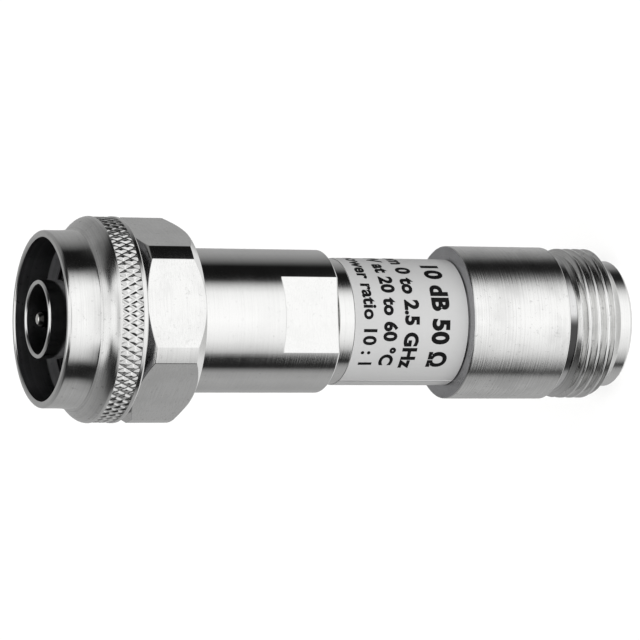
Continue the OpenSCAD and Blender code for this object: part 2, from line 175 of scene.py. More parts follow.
def add(tree, kind, settings=None, sockets=None):
    """Adds one shader node. Settings are its properties, and stops fill a colour ramp. Sockets take a
    value, or another node's output to link."""
    made = tree.nodes.new("ShaderNode" + kind)
    for key, value in (settings or {}).items():
        if key == "stops":
            ramp = made.color_ramp.elements
            while len(ramp) < len(value):
                ramp.new(1.0)
            for element, (place, shade) in zip(ramp, value):
                element.position, element.color = place, (shade, shade, shade, 1)
        else:
            setattr(made, key, value)
    for key, value in (sockets or {}).items():
        if isinstance(value, bpy.types.NodeSocket):
            tree.links.new(value, made.inputs[key])
        else:
            made.inputs[key].default_value = value
    return made


def new_material(name):
    """An empty material with a Principled shader: its tree, its shader and its Object coordinates."""
    material = bpy.data.materials.new(name)
    material.use_nodes = True
    tree = material.node_tree
    place = add(tree, "TexCoord")
    return material, tree, tree.nodes["Principled BSDF"], place.outputs["Object"]


# %% [markdown]
# The bodies are turned brass with a white bronze or nickel plating. The tool leaves fine rings round
# the axis, which smear reflections a little along the piece. The rings depend only on height and on
# distance from the axis, so one noise over those two numbers gives rings on walls and on end faces.


# %% Turned and plated brass
PER_MM = 1 / MM
CLOUD_MM, SPECK_MM = 3, 0.4
# share of the colour left where painted shade is deepest
SPECK_DEPTH, PAINTED_SHADE_LEFT = 1.8, 0.1


def turned_plate(name, colour, roughness, ring_mm, depth_mm, wear, shade_band=None):
    """Plated metal with turning marks: bump = noise(distance from axis, height), rings ring_mm wide.

    The same rings darken the colour by up to the share wear, as grime stays in the deeper marks. A
    last argument, if given, adds painted shade on one side: it is (angle of that side, start, end), and
    the colour falls to the share left in the shade as the distance towards that side, x cos + y sin,
    goes from start to end.
    """
    material, tree, shader, place = new_material(name)
    flat = add(tree, "VectorMath", {"operation": "MULTIPLY"}, {0: place, 1: (1, 1, 0)})
    out = add(tree, "VectorMath", {"operation": "LENGTH"}, {0: flat.outputs["Vector"]})
    split = add(tree, "SeparateXYZ", None, {"Vector": place})
    pair = add(tree, "CombineXYZ", None, {"X": out.outputs["Value"], "Y": split.outputs["Z"]})
    rings = add(tree, "TexNoise", None, {
        "Vector": pair.outputs["Vector"], "Scale": PER_MM / ring_mm, "Detail": 3.0, "Roughness": 0.65})
    bump = add(tree, "Bump", None, {
        "Height": rings.outputs["Fac"], "Strength": 1.0, "Distance": depth_mm * MM})
    # handling leaves soft cloudy patches a few millimetres across, seen as uneven gloss
    clouds = add(tree, "TexNoise", None, {"Vector": place, "Scale": PER_MM / CLOUD_MM, "Detail": 4.0})
    gloss = add(tree, "MapRange", None, {
        "Value": clouds.outputs["Fac"], "From Min": 0.3, "From Max": 0.7,
        "To Min": roughness * 0.85, "To Max": roughness * 1.15})
    # and the deeper marks and scuffs hold a little grime
    marks = add(tree, "Math", {"operation": "MULTIPLY"}, {
        0: rings.outputs["Fac"], 1: clouds.outputs["Fac"]})
    grime = add(tree, "MapRange", None, {
        "Value": marks.outputs["Value"], "From Min": 0.15, "From Max": 0.3,
        "To Min": 1.0 - wear, "To Max": 1.0})
    # sparse specks a fraction of a millimetre across, where dust has stuck or the plate is pitted
    dust = add(tree, "TexNoise", None, {"Vector": place, "Scale": PER_MM / SPECK_MM, "Detail": 5.0})
    specks = add(tree, "MapRange", None, {
        "Value": dust.outputs["Fac"], "From Min": 0.62, "From Max": 0.74,
        "To Min": 1.0, "To Max": 1.0 - SPECK_DEPTH * wear})
    clean = add(tree, "Math", {"operation": "MULTIPLY"}, {
        0: grime.outputs["Result"], 1: specks.outputs["Result"]})
    worn = add(tree, "VectorMath", {"operation": "SCALE"}, {
        0: linear(colour)[:3], "Scale": clean.outputs["Value"]})
    # painted shade: the colour is darkened towards one side of the piece
    if shade_band:
        shaded_side = (math.cos(shade_band[0]), math.sin(shade_band[0]), 0)
        towards = add(tree, "VectorMath", {"operation": "DOT_PRODUCT"}, {0: place, 1: shaded_side})
        shade_fall = add(tree, "MapRange", {"interpolation_type": "SMOOTHSTEP"}, {
            "Value": towards.outputs["Value"], "From Min": shade_band[1] * MM, "From Max": shade_band[2] * MM,
            "To Min": 1.0, "To Max": PAINTED_SHADE_LEFT})
        worn = add(tree, "VectorMath", {"operation": "SCALE"}, {
            0: worn.outputs["Vector"], "Scale": shade_fall.outputs["Result"]})
    tree.links.new(worn.outputs["Vector"], shader.inputs["Base Color"])
    tree.links.new(bump.outputs["Normal"], shader.inputs["Normal"])
    tree.links.new(gloss.outputs["Result"], shader.inputs["Roughness"])
    shader.inputs["Metallic"].default_value = 1.0
    return material


# bright white-bronze plate on a fine cut: neutral, nearly a mirror, with crisp black reflections
plated = turned_plate("white_bronze_plated_fine_cut", "#dddddc", 0.1, 0.14, 0.003, 0.05)
# on the nut the cut is a little coarser, so that streaks run round its sleeve and shoulder
streaked = turned_plate("white_bronze_plated_streaky_cut", "#dddddc", 0.12, 0.16, 0.005, 0.1)
# and on the jack coarser still: streaks that fray the edges of each reflection
coarse = turned_plate("white_bronze_plated_coarse_cut", "#dddddc", 0.15, 0.17, 0.009, 0.16)
# in recesses the plate is rougher, and its colour is darkened to mid grey as painted shade
recess_shade_plate = turned_plate("recess_plate_painted_shade", "#808082", 0.32, 0.3, 0.012, 0.3)
# the end face round the label is cut towards the axis, which leaves it rougher; its grey colour is
# painted shade where it meets the tube
end_face_shade_plate = turned_plate("faced_plate_painted_shade", "#acacae", 0.3, 0.3, 0.005, 0.2)
# a form tool rubs as it cuts, so the nut's shoulder is less smooth and its reflections run together
rubbed = turned_plate("white_bronze_plated_form_cut", "#dddddc", 0.17, 0.2, 0.01, 0.16)
# in the jack's groove, painted shade darkens the colour towards one side
SHADE_SIDE, SHADE_START, SHADE_END = math.radians(-114), 6.4, 6.95
groove_shade_band = (SHADE_SIDE, SHADE_START, SHADE_END)
groove_shaded_plate = turned_plate("turned_groove_painted_shade", "#d0d0d0", 0.16, 0.2, 0.004, 0.1, groove_shade_band)
# silver on the inner contacts is brighter and smoother
silver = turned_plate("silver_plated_contact", "#e6e5e2", 0.09, 0.2, 0.001, 0.02)
# on the open pin the silver's colour is darkened nearly to black: painted shade, as the pin sits deep in
# the ferrule
pin_shade_silver = turned_plate("silver_painted_shade", "#343332", 0.18, 0.2, 0.001, 0.05)
# the spacers inside are left unplated
brass = turned_plate("bare_turned_brass", "#c9a45c", 0.25, 0.2, 0.003, 0.03)
# the ring and washer are bright rolled spring steel
steel = turned_plate("rolled_spring_steel", "#a9a9ab", 0.3, 0.3, 0.002, 0.05)
metals = (plated, streaked, coarse, recess_shade_plate, end_face_shade_plate, rubbed, groove_shaded_plate, silver, pin_shade_silver, brass, steel)
print("metals:", [metal.name for metal in metals])

# %% [markdown]
# The other finishes are not metal. The label is a satin polyester film, a little uneven where it was
# pressed on. The gasket is dark moulded silicone, the beads are skived white fluoropolymer, and the
# resistors are glazed ceramic. Each gets a low bump and a slight drift of colour from noise.


# %% Film, rubber, plastic and ceramic
DRIFT_GRAINS, INK_SHEEN = 12, 0.05


def matt_stuff(name, dark, light, roughness, grain_mm, depth_mm):
    """Non-metal with two close colours mixed by coarse noise, and a bump from noise grain_mm across."""
    material, tree, shader, place = new_material(name)
    grain = add(tree, "TexNoise", None, {"Vector": place, "Scale": PER_MM / grain_mm, "Detail": 4.0})
    drift = add(tree, "TexNoise", None, {
        "Vector": place, "Scale": PER_MM / (grain_mm * DRIFT_GRAINS), "Detail": 1.0})
    colour = add(tree, "Mix", {"data_type": "RGBA"}, {
        0: drift.outputs["Fac"], 6: linear(dark), 7: linear(light)})
    bump = add(tree, "Bump", None, {
        "Height": grain.outputs["Fac"], "Strength": 1.0, "Distance": depth_mm * MM})
    tree.links.new(colour.outputs[2], shader.inputs["Base Color"])
    tree.links.new(bump.outputs["Normal"], shader.inputs["Normal"])
    shader.inputs["Roughness"].default_value = roughness
    return material


# polyester label film: light grey, satin, with the faint orange peel of its adhesive
film = matt_stuff("satin_polyester_film", "#a0a0a0", "#a8a8a8", 0.42, 0.5, 0.0015)
# thermal-transfer ink: nearly black, with a low sheen
ink = matt_stuff("thermal_transfer_ink", "#0b0b0b", "#131314", 0.38, 0.2, 0.0005)
ink.node_tree.nodes["Principled BSDF"].inputs["Specular IOR Level"].default_value = INK_SHEEN
# moulded silicone: dark, with a dull skin
silicone = matt_stuff("moulded_silicone", "#262627", "#303031", 0.55, 0.3, 0.004)
# skived fluoropolymer: milky white and waxy
fluoropolymer = matt_stuff("skived_fluoropolymer", "#e6e5e0", "#efeeea", 0.45, 0.4, 0.002)
# film resistor on a ceramic core: dark, under a thin glaze
ceramic = matt_stuff("glazed_film_resistor", "#423d39", "#544e49", 0.3, 0.3, 0.002)
print("other finishes:", [m.name for m in (film, ink, silicone, fluoropolymer, ceramic)])

# %% [markdown]
# The record names a material slot for each piece, and one table gives each slot its finish. The CAD
# pieces that stay are dressed from it. A new surface takes over the slot of the piece that it stands
# for, and some of its faces may get a second finish: a finer or rougher cut, or painted shade where
# little light reaches.

# %% Finish of each record slot, given to the CAD nodes that stay
finishes = {
    "plated_brass": plated, "bare_brass": brass, "silver_contact": silver,
    "spring_metal": steel, "gasket_rubber": silicone, "white_insulator": fluoropolymer,
    "resistor_ceramic": ceramic, "label_film": film,
}
slot_of = {part["node"]: part["material_slot"] for part in frame["record"]["subparts"]}
for node_name, node in frame["nodes"].items():
    for holder in node.material_slots:
        holder.material = finishes[slot_of[node_name]]


def dress(piece, node_name, body, finish=None):
    """Gives a new piece the finish of the CAD node that it stands for, and lets it ride on a body."""
    piece.data.materials.append(finish or finishes[slot_of[node_name]])
    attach(piece, body)
    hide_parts(node_name)


def middles_of(piece):
    """Distance from the axis and height of the middle of each face, in millimetres."""
    middles = np.empty(len(piece.data.polygons) * 3)
    piece.data.polygons.foreach_get("center", middles)
    x, y, z = middles.reshape(-1, 3).T / MM
    return np.hypot(x, y), z


def local_finish(piece, finish, chosen):
    """Gives the chosen faces of a piece one more material, and leaves its other faces as they are."""
    index = np.empty(len(piece.data.polygons), np.int32)
    piece.data.polygons.foreach_get("material_index", index)
    piece.data.materials.append(finish)
    index[chosen] = len(piece.data.materials) - 1
    piece.data.polygons.foreach_set("material_index", index)
    print(piece.name, "has", int(chosen.sum()), "faces of", finish.name)


print("finished nodes:", len(slot_of))

# %% [markdown]
# The jack body carries the outside coupling thread, 24 turns to the inch. A thread is a groove that
# climbs one pitch in each turn, so the radius at a point follows from the phase (height / pitch - angle
# / full turn). The end chamfers are cones, and the smaller of thread and cone wins, as on the lathe.

# %% Jack body with its outside thread
PITCH = 25.4 / 24
TIP_R, NECK_R, NECK_LEN = 6.65, 7.2, 1.05
CREST_R, ROOT_R = mounts["jack_thread"]["dims"]["r_mm"], 7.25
CREST_FLAT = 0.28
SPIGOT_R, BORE_R, CORE_R, LINE_R = 5.62, 4.05, 4.6, 3.5
SPIGOT_GAP, LINE_LEN = 0.2, 1.2
EDGE, JACK_EDGE = 0.25, 0.1
# softness of plain and of crisp edges, and the tolerance when faces are picked
SOFT, CRISP, HAIR = 0.06, 0.04, 0.01
JACK_COLUMNS, THREAD_ROWS = 300, 100
thread_middle = mounts["jack_thread"]["pos_m"][2] / MM
thread_half = mounts["jack_thread"]["dims"]["length_mm"] / 2
tip_top = thread_middle - thread_half - (CREST_R - TIP_R)
neck_low = thread_middle + thread_half + (CREST_R - NECK_R)
neck_top = neck_low + NECK_LEN


def thread_radius(angles, z, crest, root):
    """Radius of a right-handed V thread with flat crests: root + depth x wave / (1 - CREST_FLAT), at
    most the crest. The wave is a triangle over the phase, from 0 to 1 and back."""
    phase = (z / PITCH - angles / (2 * math.pi)) % 1
    wave = 1 - np.abs(2 * phase - 1)
    return root + (crest - root) * np.clip(wave / (1 - CREST_FLAT), 0, 1)


jack_angles = full_turn(JACK_COLUMNS)
jack_r = radius_of("jack_body")
thread_rows = []
for z in np.linspace(tip_top, neck_low, THREAD_ROWS)[1:-1]:
    cone = min(TIP_R + z - tip_top, NECK_R + neck_low - z)
    thread_rows.append((np.minimum(thread_radius(jack_angles, z, CREST_R, ROOT_R), cone), z, 0))
jack_floor, mating_z = tube_low - SPIGOT_GAP, jack_bead_low - LINE_LEN
jack_outline = [
    (BORE_R + EDGE, 0, SOFT), (TIP_R - EDGE, 0, SOFT), (TIP_R, EDGE, SOFT), (TIP_R, tip_top, SOFT),
    *thread_rows,
    (NECK_R, neck_low, SOFT), (NECK_R, neck_top, SOFT), (jack_r - JACK_EDGE, neck_top, CRISP),
    (jack_r, neck_top + JACK_EDGE, CRISP), (jack_r, jack_top - JACK_EDGE, CRISP),
    (jack_r - JACK_EDGE, jack_top, CRISP), (SPIGOT_R, jack_top, SOFT), (SPIGOT_R, jack_floor, SOFT),
    (CORE_R, jack_floor, SOFT), (CORE_R, jack_bead_low, SOFT), (LINE_R, jack_bead_low, SOFT),
    (LINE_R, mating_z, SOFT), (BORE_R, mating_z, SOFT), (BORE_R, EDGE, SOFT),
]
jack = skin("jack_body_threaded", *turned_rows(jack_outline, jack_angles))
dress(jack, "jack_body", "attenuator_body", coarse)

# %% [markdown]
# The lead-in and the last stretch of the jack's wall before the groove were cut with a finer feed. They
# get the smoother finish, and their faces are picked by where their middles lie. The groove between
# thread and wall gets painted shade on one side. The end face round the label is rougher, and its grey
# colour is painted shade.

# %% Finer bands and painted shade on the jack
FINE_BAND = 1.65
face_r, face_z = middles_of(jack)
fine_feed = (face_z < tip_top) | ((face_z > neck_top - SOFT) & (face_z < neck_top + FINE_BAND))
local_finish(jack, plated, fine_feed)
local_finish(jack, groove_shaded_plate, (face_z > neck_low - SOFT) & (face_z < neck_top - SOFT))
# painted shade: the end face round the label gets the darker grey plate
local_finish(jack, end_face_shade_plate, (face_r > SPIGOT_R + SOFT) & (face_z > jack_top - CRISP))

# %% [markdown]
# The plug body is turned too, but two flats for a wrench are milled into its back end. On a flat the
# radius is flat distance / cos(angle from the flat's middle), so the flat is the smaller of that and
# the round. Columns are packed closely at the flats' edges to keep those edges crisp.

# %% Plug body with two wrench flats
plug_r = radius_of("plug_body")
FLAT, FLAT_LEN = 6.3, 6.25
FINE = 0.15
# a limit past every flat's edge, which keeps the cosine below away from zero
FLAT_SPAN = 1.2
PLUG_COLUMNS = 240
RING_R, RING_HALF = 6.65, 0.51
FERRULE_R = mounts["plug_outer_contact"]["dims"]["r_mm"]
seat = gasket_bottom
ring_low, ring_high = ring_z - RING_HALF, ring_z + RING_HALF
plug_floor = tube_high + SPIGOT_GAP
flat_half = math.acos(FLAT / plug_r)
crowd = np.array([-0.02, -0.008, -0.003, 0, 0.003, 0.008, 0.02])
flat_edges = (np.array([[-1], [1]]) * math.pi / 2 + np.array([-flat_half, flat_half])).ravel()
close_by = (flat_edges[:, None] + crowd).ravel()
plug_angles = np.unique(np.concatenate([full_turn(PLUG_COLUMNS) - math.pi, close_by]).round(6))
from_flat = np.abs(np.abs(plug_angles) - math.pi / 2)
flat_r = np.minimum(plug_r, FLAT / np.cos(np.minimum(from_flat, FLAT_SPAN)))
flat_top = plug_bottom + FLAT_LEN
plug_outline = [
    (SPIGOT_R, plug_bottom, SOFT), (flat_r - FINE, plug_bottom, SOFT),
    (flat_r, plug_bottom + FINE, SOFT), (flat_r, flat_top, SOFT), (plug_r, flat_top, SOFT),
    (plug_r, ring_low, SOFT), (RING_R, ring_low, SOFT),
    (RING_R, ring_high, SOFT), (plug_r, ring_high, SOFT),
    (plug_r, seat - EDGE, SOFT), (plug_r - EDGE, seat, SOFT), (FERRULE_R, seat, SOFT),
    (FERRULE_R, plug_front - FINE, SOFT), (FERRULE_R - FINE, plug_front, SOFT),
    (LINE_R + FINE, plug_front, SOFT), (LINE_R, plug_front - FINE, SOFT), (LINE_R, bead_high, SOFT),
    (CORE_R, bead_high, SOFT), (CORE_R, plug_floor, SOFT), (SPIGOT_R, plug_floor, SOFT),
]
plug = skin("plug_body_with_flats", *turned_rows(plug_outline, plug_angles))
dress(plug, "plug_body", "attenuator_body")
# the ferrule's inside is rougher, and its colour is darkened as painted shade
face_r, face_z = middles_of(plug)
local_finish(plug, recess_shade_plate, (face_r < LINE_R + HAIR) & (face_z > bead_high))

# %% [markdown]
# The coupling nut starts as a hexagon bar. Its corners are turned down to a circle and chamfered at
# both ends, so each flat is bounded by curved edges. Inside it has a plain running bore, a ring groove,
# the thread and a wide mouth.

# %% Sizes of the coupling nut
nut_r = radius_of("coupling_nut")
AF_HALF = 9.5
NUT_TURN = math.radians(34.4)
BACK_R, BACK_CHAMFER, FRONT_CHAMFER = 9.45, 1.1, 0.72
HEX_LEN, GROOVE_R, GROOVE_W = 6.3, 8.8, 0.25
BACK_LAND, KNURL_W, FRONT_LAND = 0.55, 2.25, 0.1
SHOULDER_LEN, FILLET = 1.6, 0.2
FLARE, FLARE_SLOPE = 0.11, math.radians(7)
SLEEVE_R, MOUTH_R, MOUTH_DEPTH = 9.0, 8.25, 3.2
NUT_MINOR, NUT_MAJOR = mounts["plug_coupling_thread"]["dims"]["r_mm"], 8.0
RELIEF_R, RELIEF_W, RELIEF_LIFT = 8.05, 1.0, 0.5
RUNNING_GAP, NUT_GROOVE_R = 0.1, 8.2
KNURL_BED, KNURL_SOFT, RIM_SOFT = 0.5, 0.03, 0.1
hex_top = nut_bottom + HEX_LEN
collar = hex_top + GROOVE_W
knurl_low = collar + BACK_LAND
knurl_high = knurl_low + KNURL_W
shoulder = knurl_high + FRONT_LAND
relief_low = seat + RELIEF_LIFT
relief_high = relief_low + RELIEF_W
mouth_low = nut_rim - MOUTH_DEPTH
thread_top = mouth_low - (MOUTH_R - NUT_MINOR)
nut_bore = plug_r + RUNNING_GAP
bed_r = nut_r - KNURL_BED
print("the collar starts at", round(collar, 2), "and the shoulder at", round(shoulder, 2))

# %% [markdown]
# The edges of the hexagon's flats stay crisp only when columns of the mesh lie on them. Each sixth of
# the turn gets columns on both edges of its flat, others just beside them, and an even spread between.
# On a flat the radius is again its distance / cos(angle from its middle), and the chamfers are cones.

# %% Columns of the hexagon
SIXTH, NEAR, CLEAR = math.pi / 3, 0.006, 0.02
FLAT_COLUMNS, CORNER_COLUMNS = 36, 8
flat_edge = math.acos(AF_HALF / nut_r)
on_flat = np.concatenate([
    [-flat_edge, NEAR - flat_edge],
    np.linspace(CLEAR - flat_edge, flat_edge - CLEAR, FLAT_COLUMNS),
    [flat_edge - NEAR]])
on_corner = np.concatenate([
    [flat_edge, flat_edge + NEAR],
    np.linspace(flat_edge + CLEAR, SIXTH - flat_edge - CLEAR, CORNER_COLUMNS),
    [SIXTH - flat_edge - NEAR]])
sector = np.concatenate([on_flat, on_corner])
nut_angles = (NUT_TURN + np.arange(6)[:, None] * SIXTH + sector).ravel()
side = np.tile(sector, 6)
from_middle = np.where(np.abs(side) < SIXTH / 2, side, side - SIXTH)
hex_r = np.minimum(nut_r, AF_HALF / np.cos(from_middle))
hex_low = nut_bottom + (hex_r - BACK_R) / (nut_r - BACK_R) * BACK_CHAMFER
hex_high = hex_top - (hex_r - AF_HALF) / (nut_r - AF_HALF) * FRONT_CHAMFER
print("the nut has", len(nut_angles), "columns")

# %% [markdown]
# The thread inside the nut follows the same rule as the jack's. Outside, the shoulder falls away from
# the collar in a parabola. An arc takes up most of its slope, and a second parabola, a shallow flare,
# runs out into the sleeve.

# %% Shell of the coupling nut
nut_thread = [
    (thread_radius(nut_angles, z, NUT_MAJOR, NUT_MINOR), z, 0)
    for z in np.linspace(thread_top, relief_high, 44)[1:-1]]
fall = nut_r - SLEEVE_R - FILLET
slope = math.atan(2 * fall / SHOULDER_LEN)
arc_r = (FILLET - FLARE) / (math.cos(FLARE_SLOPE) - math.cos(slope))
arc_low = shoulder + SHOULDER_LEN
arc_top = arc_low + arc_r * (math.sin(slope) - math.sin(FLARE_SLOPE))
flare_len = 2 * FLARE / math.tan(FLARE_SLOPE)
shoulder_rows = [(nut_r - fall * t * t, shoulder + SHOULDER_LEN * t, 0) for t in np.linspace(0, 1, 20)]
fillet_rows = [
    (SLEEVE_R + FLARE + arc_r * (math.cos(FLARE_SLOPE) - math.cos(a)),
     arc_low + arc_r * (math.sin(slope) - math.sin(a)), 0)
    for a in np.linspace(slope, FLARE_SLOPE, 10)[1:]]
flare_rows = [
    (SLEEVE_R + FLARE * (1 - t) ** 2, arc_top + flare_len * t, 0) for t in np.linspace(0, 1, 12)[1:]]
nut_outline = [
    (nut_bore + FINE, nut_bottom, SOFT), (BACK_R, nut_bottom, SOFT), (hex_r, hex_low, CRISP),
    (hex_r, hex_high, CRISP), (AF_HALF, hex_top, CRISP),
    (GROOVE_R, hex_top, CRISP), (GROOVE_R, collar, CRISP),
    (nut_r - FINE, collar, SOFT), (nut_r, collar + FINE, SOFT), (nut_r, knurl_low, CRISP),
    (bed_r, knurl_low, CRISP), (bed_r, knurl_high, CRISP), (nut_r, knurl_high, KNURL_SOFT),
    *shoulder_rows, *fillet_rows, *flare_rows,
    (SLEEVE_R, nut_rim - EDGE, RIM_SOFT), (SLEEVE_R - EDGE, nut_rim, RIM_SOFT),
    (MOUTH_R + FINE, nut_rim, SOFT), (MOUTH_R, nut_rim - FINE, SOFT), (MOUTH_R, mouth_low, SOFT),
    (NUT_MINOR, thread_top, SOFT), *nut_thread, (NUT_MINOR, relief_high, SOFT),
    (RELIEF_R, relief_high, SOFT), (RELIEF_R, relief_low, SOFT),
    (nut_bore, relief_low, SOFT), (nut_bore, ring_high, SOFT),
    (NUT_GROOVE_R, ring_high, SOFT), (NUT_GROOVE_R, ring_low, SOFT),
    (nut_bore, ring_low, SOFT), (nut_bore, nut_bottom + FINE, SOFT),
]
nut = skin("coupling_nut_shell", *turned_rows(nut_outline, nut_angles))
dress(nut, "coupling_nut", "coupling_nut", streaked)

# %% [markdown]
# The nut's mouth, nearer the axis than its wall and above the gasket's seat, is rougher than its
# outside, and so is the back of the collar. Both have their colour darkened as painted shade. The
# shoulder was shaped with a form tool, which left it rubbed. As on the jack, the faces are picked by
# where their middles lie.

# %% Painted shade in the nut's mouth, and rubbed shoulder
face_r, face_z = middles_of(nut)
mouth = (face_r < MOUTH_R + HAIR) & (face_z > seat)
collar_back = (face_r < nut_r - FINE) & (np.abs(face_z - collar) < HAIR)
# painted shade: the mouth and the collar's back get the darker recess plate
local_finish(nut, recess_shade_plate, mouth | collar_back)
local_finish(nut, rubbed, (face_r > MOUTH_R + FINE) & (face_z > knurl_high) & (face_z < arc_top))

# %% [markdown]
# The knurl is a field of small diamonds, pressed in by two crossing sets of slanted grooves. Let u and
# v count grooves of the two sets. A point's height follows from the smaller of its distances to the
# nearest whole u and the nearest whole v. It climbs from the groove's bottom and stops at a flat top.

# %% Diamond knurl round the collar
DIAMONDS, HALF_ROWS = 70, 3
TOP_R, KNURL_DEPTH, WALL = nut_r - 0.05, 0.16, 0.3
# how far the field runs into the shell, columns to each diamond and rows to each half row
BURY, COLUMNS_EACH, ROWS_EACH = 0.1, 16, 8
knurl_angles = full_turn(DIAMONDS * COLUMNS_EACH)
knurl_z = np.linspace(knurl_low - BURY, knurl_high + BURY, HALF_ROWS * ROWS_EACH + 1)
along = knurl_angles[None] * DIAMONDS / math.pi
across = (knurl_z[:, None] - knurl_z[0]) / (knurl_z[-1] - knurl_z[0]) * HALF_ROWS
to_groove = [np.abs(g - np.round(g)) for g in ((along + across) / 2, (along - across) / 2)]
rise = np.clip(np.minimum(*to_groove) / WALL, 0, 1)
knurl_rows = [(TOP_R - KNURL_DEPTH + KNURL_DEPTH * r, z, 0) for r, z in zip(rise, knurl_z)]
knurl_outline = [(bed_r - BURY, knurl_z[0], 0), *knurl_rows, (bed_r - BURY, knurl_z[-1], 0)]
knurl = skin("knurl_diamonds", *turned_rows(knurl_outline, knurl_angles))
dress(knurl, "coupling_nut", "coupling_nut", streaked)

# %% [markdown]
# The tube joins the plug and the jack, with a spigot at each end that goes into them. It is a plain
# turned piece, so an outline carried round the axis is enough, and only its edges need care.

# %% Housing tube
FIT_GAP = 0.02
tube_r = radius_of("housing_tube")
spigot_r = SPIGOT_R - FIT_GAP
smooth = full_turn(200)
tube_outline = [
    (CORE_R, tube_low, SOFT), (spigot_r - EDGE, tube_low, SOFT), (spigot_r, tube_low + EDGE, SOFT),
    (spigot_r, jack_top, SOFT), (tube_r, jack_top, SOFT), (tube_r, plug_bottom, SOFT),
    (spigot_r, plug_bottom, SOFT), (spigot_r, tube_high - EDGE, SOFT),
    (spigot_r - EDGE, tube_high, SOFT), (CORE_R, tube_high, SOFT),
]
tube = skin("housing_tube_turned", *turned_rows(tube_outline, smooth))
dress(tube, "housing_tube", "attenuator_body")

# %% [markdown]
# The pin is the plug's inner contact. Its nose is a quarter circle, so that it slips into a socket. Its
# colour is darkened nearly to black as painted shade, since it sits deep in the ferrule. Only the faces
# near the tip keep the plain silver finish, so the tip alone shows a small bright reflection.

# %% Plug pin
pin_low, pin_tip = heights("plug_pin")
PIN_R, CONTACT_R, TAIL_R, NOSE_R = 0.825, 1.52, 1.1, 0.7
BRIGHT_TIP, PIN_DEPTH, CONTACT_SOFT = 0.12, 5.4, 0.15
pin_shoulder = plug_front - PIN_DEPTH
nose = [
    (PIN_R - NOSE_R + NOSE_R * math.cos(a), pin_tip - NOSE_R + NOSE_R * math.sin(a), 0)
    for a in np.linspace(0, math.pi / 2, 12)]
pin_outline = [
    (0, pin_low, 0), (TAIL_R, pin_low, SOFT), (TAIL_R, bead_high, SOFT), (CONTACT_R, bead_high, SOFT),
    (CONTACT_R, pin_shoulder, CONTACT_SOFT), (PIN_R, pin_shoulder, SOFT), *nose, (0, pin_tip, 0),
]
pin = skin("plug_pin_turned", *turned_rows(pin_outline, full_turn(64)), ring=False)
# painted shade: the pin's colour is darkened, and only its tip keeps plain silver
dress(pin, "plug_pin", "attenuator_body", pin_shade_silver)
_, face_z = middles_of(pin)
local_finish(pin, silver, face_z > pin_tip - BRIGHT_TIP)

# %% [markdown]
# The gasket is moulded, so its edges are rounder than those of the turned pieces and get more rows. The
# insulator is a disc of white fluoropolymer that holds the pin in the middle of the line.

# %% Gasket and insulator
GASKET_HOLE, GASKET_R = 4.9, radius_of("mouth_gasket")
SEAT_SOFT, FACE_SOFT = 0.15, 0.3
gasket_outline = [
    (GASKET_HOLE, gasket_bottom, SEAT_SOFT), (GASKET_R, gasket_bottom, SEAT_SOFT),
    (GASKET_R, gasket_top, FACE_SOFT), (GASKET_HOLE, gasket_top, FACE_SOFT),
]
gasket = skin("mouth_gasket_moulded", *turned_rows(gasket_outline, smooth, steps=5))
dress(gasket, "mouth_gasket", "attenuator_body")

bead_in, bead_out = TAIL_R + FIT_GAP, CORE_R - FIT_GAP
bead_outline = [
    (bead_in, bead_low, SOFT), (bead_out, bead_low, SOFT),
    (bead_out, bead_high, SOFT), (bead_in, bead_high, SOFT),
]
bead = skin("plug_insulator_turned", *turned_rows(bead_outline, smooth))
dress(bead, "plug_insulator", "attenuator_body")

# %% [markdown]
# The label is a film wrapped round the tube. It is the same kind of surface as a turned piece, but it
# stops short of a full turn, which leaves the narrow seam where its two ends meet.

# %% Label film with its seam
LABEL_IN, LABEL_R = tube_r + FIT_GAP, radius_of("rating_label")
SEAM, SEAM_W, SEAM_R = math.radians(-164), 0.15, 6.6
FILM_SOFT, WRAP_COLUMNS = 0.02, 240
seam_half = SEAM_W / 2 / SEAM_R
wrap = np.linspace(SEAM + seam_half, SEAM + 2 * math.pi - seam_half, WRAP_COLUMNS)
label_outline = [
    (LABEL_IN, label_bottom, 0), (LABEL_R, label_bottom, FILM_SOFT),
    (LABEL_R, label_top, FILM_SOFT), (LABEL_IN, label_top, 0),
]
label = skin("rating_label_film", *turned_rows(label_outline, wrap), around=False)
dress(label, "rating_label", "attenuator_body")

# %% [markdown]
# The print faces the camera, and the studio's panels are counted round from the camera's side, so both
# need its direction. The three angles come from a camera model that was fitted to the photograph.

# %% Camera direction, which the print and the lights are set out from
VIEW_AZIMUTH, VIEW_ELEVATION, VIEW_ROLL = (math.radians(v) for v in (-6.0, 22.5, 0.45))
toward_view = VIEW_AZIMUTH - math.pi / 2
print("the camera's side is at", round(math.degrees(toward_view), 1), "degrees round the axis")

# %% [markdown]
# The print gives general electrical values in plain lettering. A text object is the simplest source of
# letters. Its mesh is cut into strips along the reading direction, so that it can bend, and each point
# (u along the line, v up the letters) goes to angle = start - u / radius and height = base - v.

# %% Printed lines
INK_R, INK_HIGH = LABEL_R - 0.004, 0.012
STRIP, CAP_SHARE, LETTER_SPACING = 0.2, 0.73, 1.05


